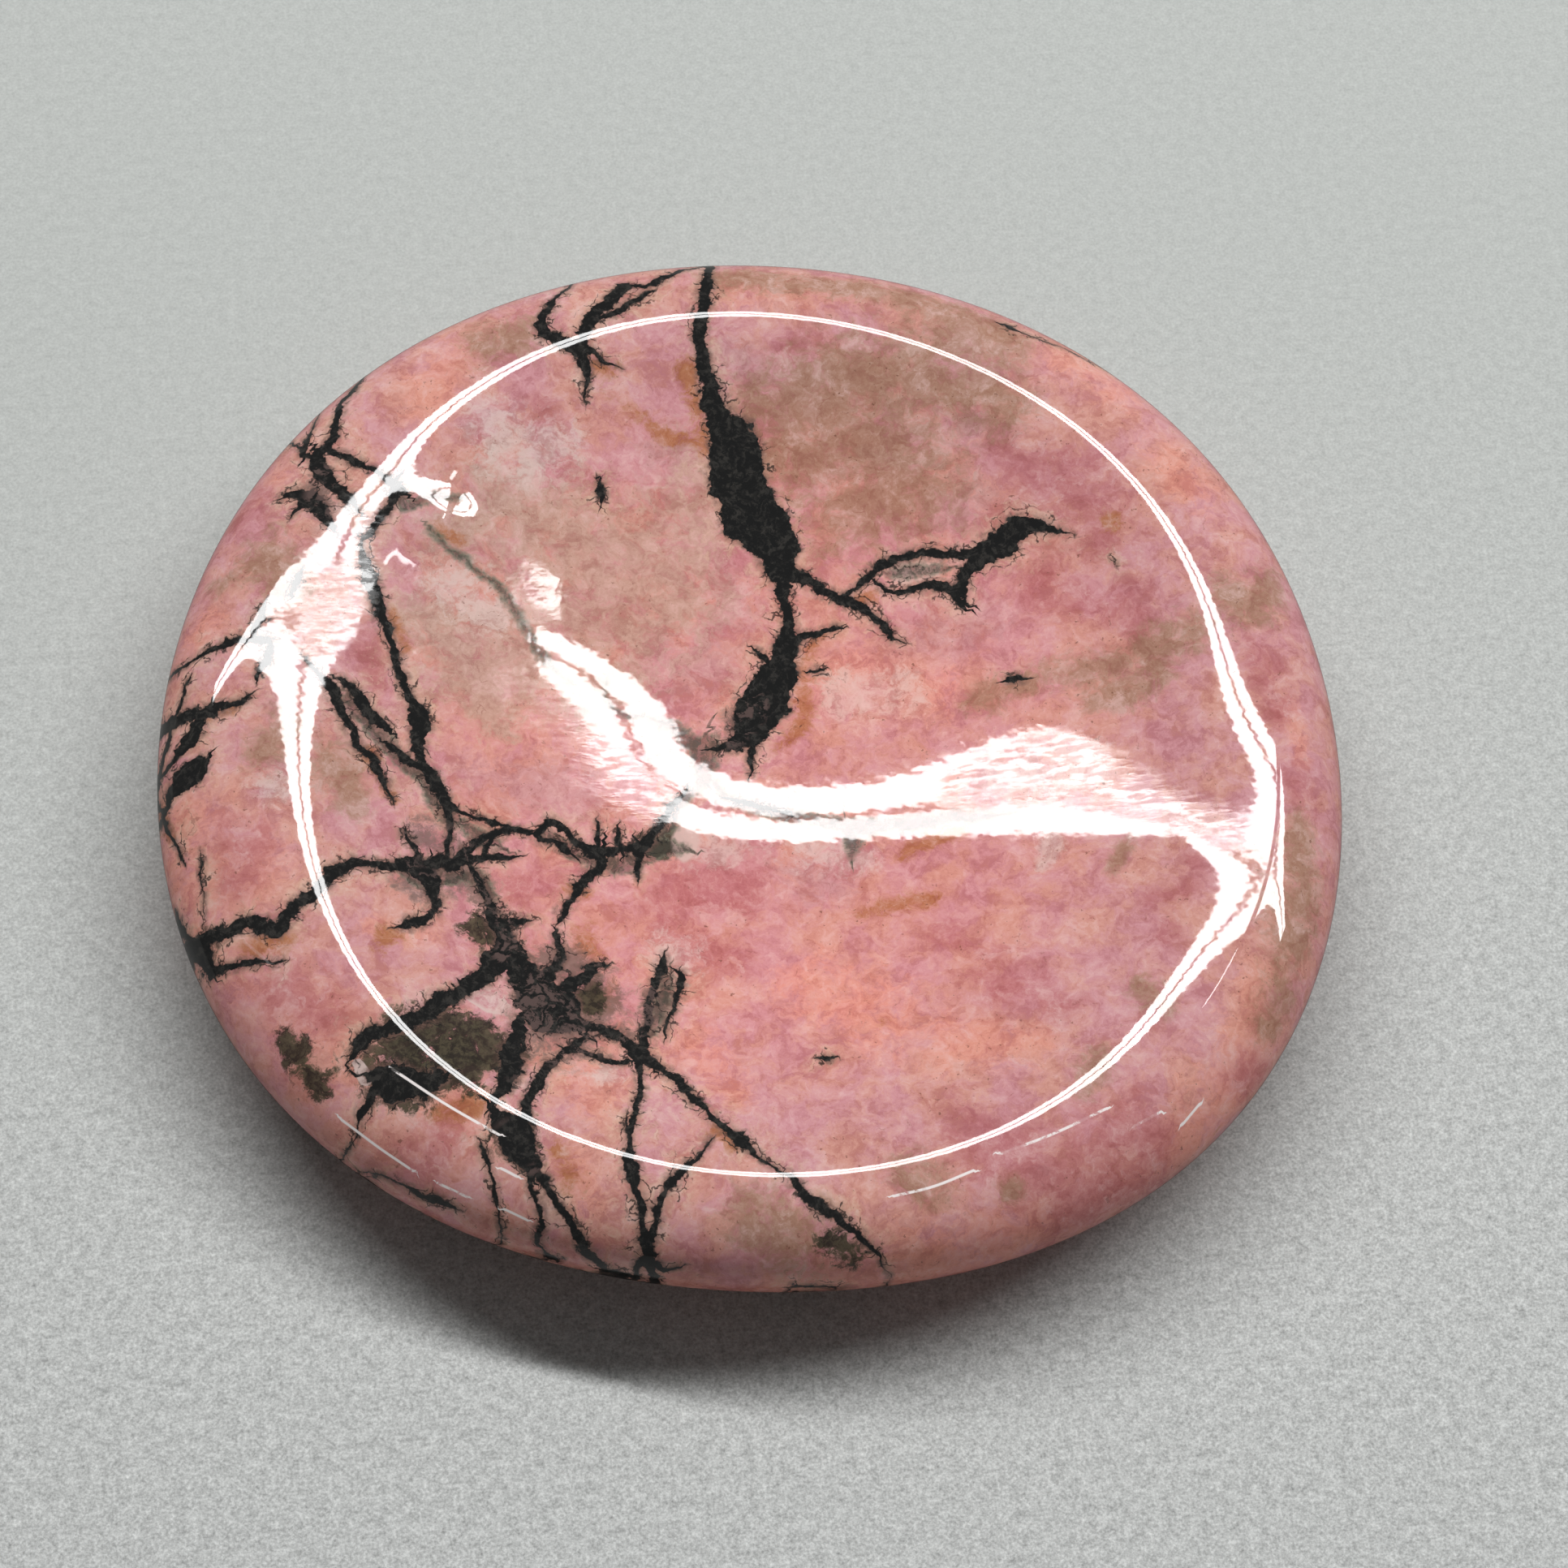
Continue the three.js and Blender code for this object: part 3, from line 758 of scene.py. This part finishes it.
def layer_field(layer, first_number=0):
    """Offset from the nearest curve, half width and length along it, for every point.

    Past the reach of a vein the half width falls below nothing, so that the places where the
    offset changes sides can't look like veins. Each vein's length starts somewhere else, so that
    no two have the same hairs."""
    field = np.tile([FAR_AWAY, -FAR_AWAY, 0.0], (len(skin_points), 1))
    for number, curve in enumerate(layer, first_number):
        near, offset, width, along = distance_from(curve, VEIN_REACH)
        closer = np.abs(offset) < np.abs(field[near, 0])
        beyond = np.clip(np.abs(offset) - FADE_START * width - TIP_ALLOWANCE, 0, None)
        values = np.stack([offset, width - FADE_RATE * beyond, along + ALONG_SHIFT * number], 1)
        field[near[closer]] = values[closer]
    return field


black_layers = sort_into_layers(black_curves)
grey_layers = sort_into_layers(grey_curves)
print("layers of black veins:", [len(layer) for layer in black_layers],
      "of grey veins:", [len(layer) for layer in grey_layers])


# %% Soft stains
STAIN_REACH = 6.0
STAIN_SPREAD = 1.25
NEAR_FADE, NEAR_FADE_BY_WIDTH = 0.45, 0.8
NUMBERS_PER_LAYER = 20


def stain_field(strokes):
    """How strongly a stain tints each point, from 0 to 1: a bell curve of the distance from the
    stroke, measured in the stroke's own half widths. Overlapping strokes add up to at most 1."""
    clear = np.ones(len(skin_points))
    for stroke in strokes:
        near, offset, width, _ = distance_from(lay_stroke(stroke), STAIN_REACH)
        clear[near] *= 1 - np.exp(-((offset / width / STAIN_SPREAD) ** 2))
    return 1 - clear


def nearness_field(curves):
    """1 inside any vein, fading to 0 at about one millimetre from it."""
    nearness = np.zeros(len(skin_points))
    for curve in curves:
        near, offset, width, _ = distance_from(curve, VEIN_REACH)
        gap = np.clip(np.abs(offset) - width, 0, None)
        fade = np.exp(-gap / (NEAR_FADE + NEAR_FADE_BY_WIDTH * width))
        nearness[near] = np.maximum(nearness[near], fade)
    return nearness


def store(name, values):
    """Keeps three numbers for each point of the stone's mesh under one name."""
    attribute = stone.data.attributes.new(name, "FLOAT_VECTOR", "POINT")
    attribute.data.foreach_set("vector", np.ascontiguousarray(values, np.float32).ravel())


def store_stains(name, *groups):
    """Three fields under one name, each from a list of strokes or already worked out."""
    fields = [stain_field(g) if isinstance(g, list) else g for g in groups]
    store(name, np.stack(fields, 1))


black_names = [f"black_veins_{number}" for number in range(len(black_layers))]
grey_names = [f"grey_veins_{number}" for number in range(len(grey_layers))]
for number, (name, layer) in enumerate(zip(black_names + grey_names, black_layers + grey_layers)):
    store(name, layer_field(layer, NUMBERS_PER_LAYER * number))
store_stains("stains", OLIVE_STAINS, RUST_STAINS, BROWN_STAINS)
store_stains("tints", ROSE_PATCHES, LILAC_PATCHES, SALMON_PATCHES_AND_PAINTED_EDGE)
store_stains("pale_near_smoke", PALE_PATCHES, nearness_field(black_curves), SMOKY_PATCHES)
store_stains("tan_worn", TAN_PATCHES, WORN_PATCHES, [])
store("scratches", layer_field([lay_stroke(stroke) for stroke in SCRATCHES]))
print("stored", len(stone.data.attributes), "sets of numbers on the stone")

# %% [markdown]
# ## Wiring nodes
# A material is a tree of nodes. The helpers below add a node and wire its sockets in one line,
# so that the recipes further down read like sums.

# %% Helpers for node trees
class Wiring:
    """Adds nodes to one tree. An input is a number, a colour or another node's output."""

    def __init__(self, tree):
        self.tree = tree

    def node(self, kind, inputs, **settings):
        made = self.tree.nodes.new("ShaderNode" + kind)
        for name, value in settings.items():
            setattr(made, name, value)
        for socket, value in inputs.items():
            if isinstance(value, bpy.types.NodeSocket):
                self.feed(value, made.inputs[socket])
            else:
                made.inputs[socket].default_value = value
        return made

    def feed(self, value, socket):
        self.tree.links.new(value, socket)

    def math(self, operation, *terms):
        return self.node("Math", dict(enumerate(terms)), operation=operation).outputs[0]

    def times(self, first, second):
        return self.math("MULTIPLY", first, second)

    def line(self, value, factor, added):
        """The value times the factor, plus what is added."""
        return self.math("MULTIPLY_ADD", value, factor, added)

    def step(self, value, low, high, to_low=0.0, to_high=1.0):
        """A smooth step of a value from low to high."""
        inputs = {"Value": value, "From Min": low, "From Max": high, "To Min": to_low, "To Max": to_high}
        return self.node("MapRange", inputs, interpolation_type="SMOOTHSTEP").outputs["Result"]

    def noise(self, vector, scale, detail, roughness, output="Fac"):
        inputs = {"Vector": vector, "Scale": scale, "Detail": detail, "Roughness": roughness}
        return self.node("TexNoise", inputs).outputs[output]

    def cells(self, vector, scale):
        """Three random numbers for each of a heap of cells."""
        return self.parts(self.node("TexVoronoi", {"Vector": vector, "Scale": scale}).outputs["Color"])

    def grain(self, vector, size):
        inputs = {"Place": vector, "Size": size}
        return self.node("Group", inputs, node_tree=grain_group).outputs["Grain"]

    def mix(self, share, first, second, blend="MIX"):
        inputs = {0: share, 6: first, 7: second}
        return self.node("Mix", inputs, data_type="RGBA", blend_type=blend).outputs[2]

    def stretch(self, vector, scale=(1, 1, 1), move=(0, 0, 0)):
        return self.node("Mapping", {"Vector": vector, "Scale": scale, "Location": move}).outputs[0]

    def millimetres(self):
        """The object's own coordinates, in millimetres."""
        metres = self.node("TexCoord", {}).outputs["Object"]
        return self.stretch(metres, (1 / mm, 1 / mm, 1 / mm))

    def parts(self, vector):
        return self.node("SeparateXYZ", {"Vector": vector}).outputs

    def stored(self, name):
        return self.node("Attribute", {}, attribute_name=name).outputs["Vector"]


def new_group(name, vectors, floats, result):
    """An empty node group with named inputs and one number as its output, and its wiring."""
    group = bpy.data.node_groups.new(name, "ShaderNodeTree")
    for socket in vectors + floats:
        kind = "NodeSocketVector" if socket in vectors else "NodeSocketFloat"
        group.interface.new_socket(socket, in_out="INPUT", socket_type=kind)
    group.interface.new_socket(result, in_out="OUTPUT", socket_type="NodeSocketFloat")
    given = group.nodes.new("NodeGroupInput").outputs
    return group, Wiring(group), given, group.nodes.new("NodeGroupOutput").inputs[result]


def new_material(name):
    """A material, its wiring and its shader."""
    material = bpy.data.materials.new(name)
    material.use_nodes = True
    tree = material.node_tree
    return material, Wiring(tree), tree.nodes["Principled BSDF"]


# %% Group: how deep inside a vein
HAIR_NOISE = (5.0, 2.0, 0.5)
HAIR_STRETCH = 0.25
HAIR_LENGTH = 0.15


def make_vein_group():
    """Millimetres to the nearest edge of a layer's veins, above 0 inside a vein and below outside.

    The offset is pushed about by a noise, so the vein wanders. Its half width swells and
    shrinks, a finer noise nibbles at its edges, and a noise that is drawn out across the vein
    lets a few fine hairs out of them. Thin veins have less of it.
    """
    floats = ["Height", "Wander", "Swell", "Nibble"]
    group, wire, given, result = new_group("vein depth", ["Vein"], floats, "Depth")
    offset, width, along = wire.parts(given["Vein"])
    place = {0: along, 1: wire.times(offset, HAIR_STRETCH), 2: given["Height"]}
    hairs = wire.noise(wire.node("CombineXYZ", place).outputs[0], *HAIR_NOISE)
    hairs = wire.step(hairs, 0.58, 0.80, 0.0, HAIR_LENGTH)
    room = wire.step(width, 0.0, 0.3, 0.2, 1.0)
    edge = wire.times(wire.math("ADD", hairs, given["Nibble"]), room)
    fullness = wire.math("ADD", given["Swell"], wire.step(width, 0.3, 0.8, 0.0, 0.25))
    reach = wire.line(width, fullness, edge)
    wandered = wire.math("ABSOLUTE", wire.math("ADD", offset, given["Wander"]))
    wire.feed(wire.math("SUBTRACT", reach, wandered), result)
    return group


vein_group = make_vein_group()


# %% Group: fine grain
def make_grain_group():
    """A fine even grain, near 0.5: two noises of different sizes."""
    group, wire, given, result = new_group("fine grain", ["Place"], ["Size"], "Grain")
    scale = wire.math("DIVIDE", 1.0, given["Size"])
    fine = wire.noise(given["Place"], scale, 2.0, 0.7)
    coarse = wire.noise(given["Place"], wire.times(scale, 0.3), 1.0, 0.5)
    wire.feed(wire.math("ADD", wire.times(fine, 0.7), wire.times(coarse, 0.3)), result)
    return group


grain_group = make_grain_group()

# %% [markdown]
# ## Rhodonite
# The recipe goes from the pink ground to the black ink. First the pink, between a warm and a
# cool one, and on it the tints and stains, whose edges a noise breaks up. Then the grain of the
# crystals, which darkens and lightens whatever colour is under it, so that a stain keeps the
# rock's texture. Then the grey veins, a painted glow that makes the stone's sides redder, and
# last the black veins, which cover everything but the scratches.

# %% The colours of the rock
WARM_PINK = (0.66, 0.322, 0.265, 1)
COOL_PINK = (0.63, 0.298, 0.325, 1)
PALE_PINK = (0.82, 0.56, 0.54, 1)
DARKENING = (0.60, 0.36, 0.37, 1)
ROSE = (0.49, 0.165, 0.175, 1)
LILAC = (0.56, 0.310, 0.320, 1)
# Salmon: the rock's colour in places, and painted saturation along the near and left lower edge.
SALMON_AND_PAINTED_EDGE = (0.78, 0.330, 0.245, 1)
CREAM = (0.66, 0.44, 0.33, 1)
TAN = (0.53, 0.360, 0.285, 1)
BROWN = (0.39, 0.220, 0.150, 1)
RUST = (0.44, 0.170, 0.075, 1)
OLIVE = (0.105, 0.088, 0.052, 1)
OLIVE_DARK = (0.020, 0.018, 0.013, 1)
WHITE_VEIL = (0.72, 0.60, 0.56, 1)
GREY = (0.160, 0.170, 0.125, 1)
GREY_CORE = (0.055, 0.058, 0.045, 1)
FRINGE = (0.16, 0.085, 0.070, 1)
INK = (0.0095, 0.0095, 0.0095, 1)
SMOKE = (0.036, 0.033, 0.030, 1)
MAUVE_SMOKE = (0.11, 0.072, 0.066, 1)
SMOKE_VEIL = (0.17, 0.110, 0.100, 1)
HAIRLINE = (0.30, 0.11, 0.09, 1)
FLECK = (0.17, 0.070, 0.045, 1)
ISLAND = (0.66, 0.50, 0.46, 1)
# Near-white of the scratches: a painted glint on real scratches.
SCRATCH_GLINT = (0.95, 0.88, 0.86, 1)
# A painted glow that makes the stone's sides redder, by height.
PAINTED_SIDE_GLOW = (1.13, 0.99, 0.97, 1)

# %% The textures of the rock
# Each noise is its cycles per millimetre, detail and roughness.
PUSH = (0.9, 4.0, 0.6)
MOTTLES = (0.75, 6.0, 0.72)
CRUMBS = (3.4, 4.0, 0.7)
WARMTH = (0.5, 6.0, 0.7)
EDGES = (1.1, 6.0, 0.74)
FLECKS = (6.0, 2.0, 0.6)
WANDER = (1.3, 4.0, 0.55)
SWELL = (1.0, 2.0, 0.5)
NIBBLE = (4.0, 4.0, 0.65)
RIPPLES = (2.2, 1.0, 0.5)
FIBRES = (1.0, 4.0, 0.62)

PUSH_REACH = (1.5, 1.5, 1.5)
WARMTH_MOVE = (31, 7, 3)
EDGES_MOVE = (5, 19, 11)
LARGE_CELLS, SMALL_CELLS, THREAD_CELLS = 1.1, 2.7, 1.05
GRAIN_SIZE = 0.2
PAINTED_GLOW_HEIGHTS = (4.2, 5.6)
FIBRE_STRETCH = (1.4, 4.5, 1.4)
RELIEF_HEIGHT = 0.0006
POLISH = (0.015, 0.03)
DULLING = 0.09
SPECULAR_LEVELS = (0.5, 0.34)
REFRACTION = 1.68


# %% Mix the rock
def make_rhodonite():
    """The stone's material. Each step takes a smooth range of one noise or field and mixes one
    colour in by it."""
    material, wire, shader = new_material("rhodonite")
    line, mix, step, times = wire.line, wire.mix, wire.step, wire.times

    place = wire.millimetres()
    height = wire.parts(place)["Z"]
    push = {0: wire.noise(place, *PUSH, output="Color"), 1: PUSH_REACH, 2: place}
    bent = wire.node("VectorMath", push, operation="MULTIPLY_ADD").outputs[0]
    mottles = wire.noise(bent, *MOTTLES)
    crumbs = wire.noise(bent, *CRUMBS)
    warmth = wire.noise(wire.stretch(bent, move=WARMTH_MOVE), *WARMTH)
    edges = wire.noise(wire.stretch(bent, move=EDGES_MOVE), *EDGES)
    large_grain, grain_hue, _ = wire.cells(bent, LARGE_CELLS)
    small_grain = wire.cells(bent, SMALL_CELLS)[0]

    olive, rust, brown = wire.parts(wire.stored("stains"))
    rose, lilac, salmon_and_painted_edge = wire.parts(wire.stored("tints"))
    pale, nearness, smoke = wire.parts(wire.stored("pale_near_smoke"))
    tan, worn, _ = wire.parts(wire.stored("tan_worn"))
    scratch, scratch_width, _ = wire.parts(wire.stored("scratches"))
    raggedness = wire.math("ADD", times(edges, 3.2), times(crumbs, 1.4))
    raggedness = wire.math("SUBTRACT", raggedness, 2.3)

    def broken(amount, low, high, strength):
        """A stain's amount with its edge and its inside broken up by noise."""
        return step(line(raggedness, step(amount, 0.0, 0.3), amount), low, high, 0.0, strength)

    colour = mix(step(line(grain_hue, 0.06, warmth), 0.40, 0.66), COOL_PINK, WARM_PINK)
    for amount, low, high, strength, tint in (
        (lilac, 0.1, 1.2, 0.7, LILAC),
        # Salmon: partly real patches, partly painted saturation along the lower edge.
        (salmon_and_painted_edge, 0.1, 1.2, 0.65, SALMON_AND_PAINTED_EDGE),
        (rose, 0.1, 1.2, 0.8, ROSE),
        (tan, 0.0, 1.1, 0.85, TAN),
        (nearness, 0.25, 1.3, 0.75, CREAM),
        (pale, 0.2, 1.2, 0.6, WHITE_VEIL),
        (brown, 0.0, 1.05, 0.9, BROWN),
        (rust, 0.25, 1.1, 0.9, RUST),
    ):
        colour = mix(broken(amount, low, high, strength), colour, tint)

    tone = line(large_grain, 0.04, times(mottles, 0.5))
    tone = line(small_grain, 0.05, tone)
    tone = line(crumbs, 0.26, tone)
    tone = line(wire.grain(place, GRAIN_SIZE), 0.10, tone)
    colour = mix(step(tone, 0.37, 0.50, 0.55, 0.0), colour, DARKENING, "MULTIPLY")
    colour = mix(step(tone, 0.465, 0.625, 0.0, 0.5), colour, PALE_PINK)

    cells = {"Vector": bent, "Scale": THREAD_CELLS}
    walls = wire.node("TexVoronoi", cells, feature="DISTANCE_TO_EDGE").outputs["Distance"]
    thread = step(walls, 0.012, 0.04, 1.0, 0.0)
    near_threads = times(thread, step(line(edges, 1.6, nearness), 1.4, 1.6, 0.0, 0.85))
    far_threads = times(thread, step(edges, 0.58, 0.66, 0.0, 0.5))
    colour = mix(far_threads, colour, HAIRLINE)
    flecks = step(wire.noise(place, *FLECKS), 0.66, 0.72, 0.0, 0.7)
    colour = mix(times(flecks, step(warmth, 0.44, 0.60)), colour, FLECK)

    colour = mix(broken(smoke, 0.2, 1.0, 0.8), colour, SMOKE_VEIL)
    darkness = wire.math("MAXIMUM", step(edges, 0.36, 0.54), step(smoke, 0.1, 0.5))
    darkness = times(darkness, step(crumbs, 0.42, 0.64, 1.0, 0.35))
    olive_colour = mix(darkness, OLIVE, OLIVE_DARK)
    colour = mix(broken(olive, 0.2, 0.7, 0.96), colour, olive_colour)
    island = times(step(pale, 0.40, 0.52), step(olive, 0.04, 0.12, 0.0, 0.92))
    colour = mix(island, colour, ISLAND)

    wander = line(wire.noise(place, *WANDER), 0.6, -0.3)
    swell = step(wire.noise(place, *SWELL), 0.3, 0.7, 0.78, 1.12)
    nibble = line(wire.noise(place, *NIBBLE), 0.36, -0.18)

    def depth_inside(names):
        """Depth inside the veins of several layers: the largest of the layers' depths."""
        deepest = -FAR_AWAY
        for name in names:
            inputs = {"Vein": wire.stored(name), "Height": height, "Wander": wander,
                      "Swell": swell, "Nibble": nibble}
            layer = wire.node("Group", inputs, node_tree=vein_group).outputs["Depth"]
            deepest = wire.math("MAXIMUM", deepest, layer)
        return deepest

    grey_depth = depth_inside(grey_names)
    grey_ink = times(step(grey_depth, -0.16, 0.06), step(crumbs, 0.35, 0.6, 0.5, 0.9))
    grey_colour = mix(step(grey_depth, 0.0, 0.14), GREY, GREY_CORE)
    colour = mix(grey_ink, colour, grey_colour)
    # Painted glow: below the rim, the stone's sides are made redder by height.
    colour = mix(step(height, *PAINTED_GLOW_HEIGHTS, 1.0, 0.0), colour, PAINTED_SIDE_GLOW, "MULTIPLY")

    black_depth = depth_inside(black_names)
    fringe = times(step(black_depth, -0.26, 0.02), step(crumbs, 0.36, 0.6, 0.15, 0.85))
    colour = mix(fringe, colour, FRINGE)
    opening = times(step(edges, 0.49, 0.55), step(smoke, 0.1, 0.5))
    opening = times(opening, step(walls, 0.04, 0.10))
    opening = times(opening, step(olive, 0.1, 0.4, 1.0, 0.0))
    ink_colour = mix(step(crumbs, 0.46, 0.66), INK, SMOKE)
    ink_colour = mix(times(opening, 0.9), ink_colour, MAUVE_SMOKE)
    black_ink = wire.math("MAXIMUM", step(black_depth, -0.02, 0.035), near_threads)
    colour = mix(black_ink, colour, ink_colour)

    # The scratches are real wear. Their near-white colour is a painted glint, the lamp light they catch.
    scratch_depth = wire.math("SUBTRACT", scratch_width, wire.math("ABSOLUTE", scratch))
    scratch_glint = step(scratch_depth, -0.015, 0.02, 0.0, 0.95)
    scratch_glint = times(scratch_glint, step(warmth, 0.44, 0.50, 0.1, 1.0))
    wire.feed(mix(scratch_glint, colour, SCRATCH_GLINT), shader.inputs["Base Color"])

    fibres = wire.noise(wire.stretch(place, FIBRE_STRETCH), *FIBRES)
    brushed = times(fibres, step(worn, 0.05, 0.7))
    relief = line(brushed, 1.0, wire.noise(place, *RIPPLES))
    relief = {"Height": relief, "Strength": 1.0, "Distance": RELIEF_HEIGHT * mm}
    wire.feed(wire.node("Bump", relief).outputs["Normal"], shader.inputs["Normal"])
    dulled = times(step(fibres, 0.42, 0.60), step(worn, 0.1, 0.7))
    polish = step(crumbs, 0.4, 0.7, *POLISH)
    wire.feed(line(dulled, DULLING, polish), shader.inputs["Roughness"])
    specular = step(dulled, 0.1, 0.9, *SPECULAR_LEVELS)
    wire.feed(specular, shader.inputs["Specular IOR Level"])
    shader.inputs["IOR"].default_value = REFRACTION
    return material


stone.data.materials.append(make_rhodonite())

# %% [markdown]
# ## The floor
# The stone lies on a plain pale grey sheet with a very fine tooth. The camera is focused on the
# stone and the lamps graze the sheet toward the viewer, so the tooth shows more in front of the
# stone than behind it. It is only colour, from the same group of nodes as the stone's own grain.

# %% The floor
FLOOR_SIDE = 1600.0
FLOOR_DROP = 0.01
# Painted shade: the sheet is lighter in front and darker behind, to even out the lamps' light.
FLOOR_NEAR_PAINTED_LIGHT = (0.540, 0.550, 0.540, 1)
FLOOR_FAR_PAINTED_SHADE = (0.490, 0.508, 0.490, 1)
FLOOR_SHADE = (0, 0, 0, 1)
FLOOR_ROUGHNESS = 0.8
TOOTH_SIZE = 0.11
FLOOR_SPAN = (-26.0, 26.0)
TOOTH_CONTRAST = (2.1, 0.7)
MIRRORED_SHADE = 0.6


def make_floor():
    """A level square just under the stone's flat spot."""
    half, drop = FLOOR_SIDE / 2 * mm, -FLOOR_DROP * mm
    mesh = bpy.data.meshes.new("floor")
    corners = [(-half, -half, drop), (half, -half, drop), (half, half, drop), (-half, half, drop)]
    mesh.from_pydata(corners, [], [(0, 1, 2, 3)])
    floor = bpy.data.objects.new("floor", mesh)
    scene.collection.objects.link(floor)
    return floor


def make_paper():
    """Plain grey with painted shade: a little darker behind the stone and lighter in front, which evens
    out the lamps, since they light the sheet more behind the stone. Mottled by the fine grain. The polish
    mirrors the sheet darker than it is, as if in the shade of whoever holds the camera."""
    material, wire, shader = new_material("floor")
    place = wire.millimetres()
    behind = wire.parts(place)["Y"]
    # Painted shade: darker behind the stone, lighter in front of it.
    grey = wire.mix(wire.step(behind, *FLOOR_SPAN), FLOOR_NEAR_PAINTED_LIGHT, FLOOR_FAR_PAINTED_SHADE)
    tooth = wire.math("SUBTRACT", wire.grain(place, TOOTH_SIZE), 0.5)
    lightness = wire.line(tooth, wire.step(behind, *FLOOR_SPAN, *TOOTH_CONTRAST), 1.0)
    mirrored = wire.node("LightPath", {}).outputs["Is Glossy Ray"]
    grey = wire.mix(wire.times(mirrored, MIRRORED_SHADE), grey, FLOOR_SHADE)
    lightness = wire.node("CombineXYZ", {axis: lightness for axis in range(3)}).outputs[0]
    wire.feed(wire.mix(1.0, grey, lightness, "MULTIPLY"), shader.inputs["Base Color"])
    shader.inputs["Roughness"].default_value = FLOOR_ROUGHNESS
    return material


floor = make_floor()
floor.data.materials.append(make_paper())
print("the floor is", FLOOR_SIDE, "mm square")
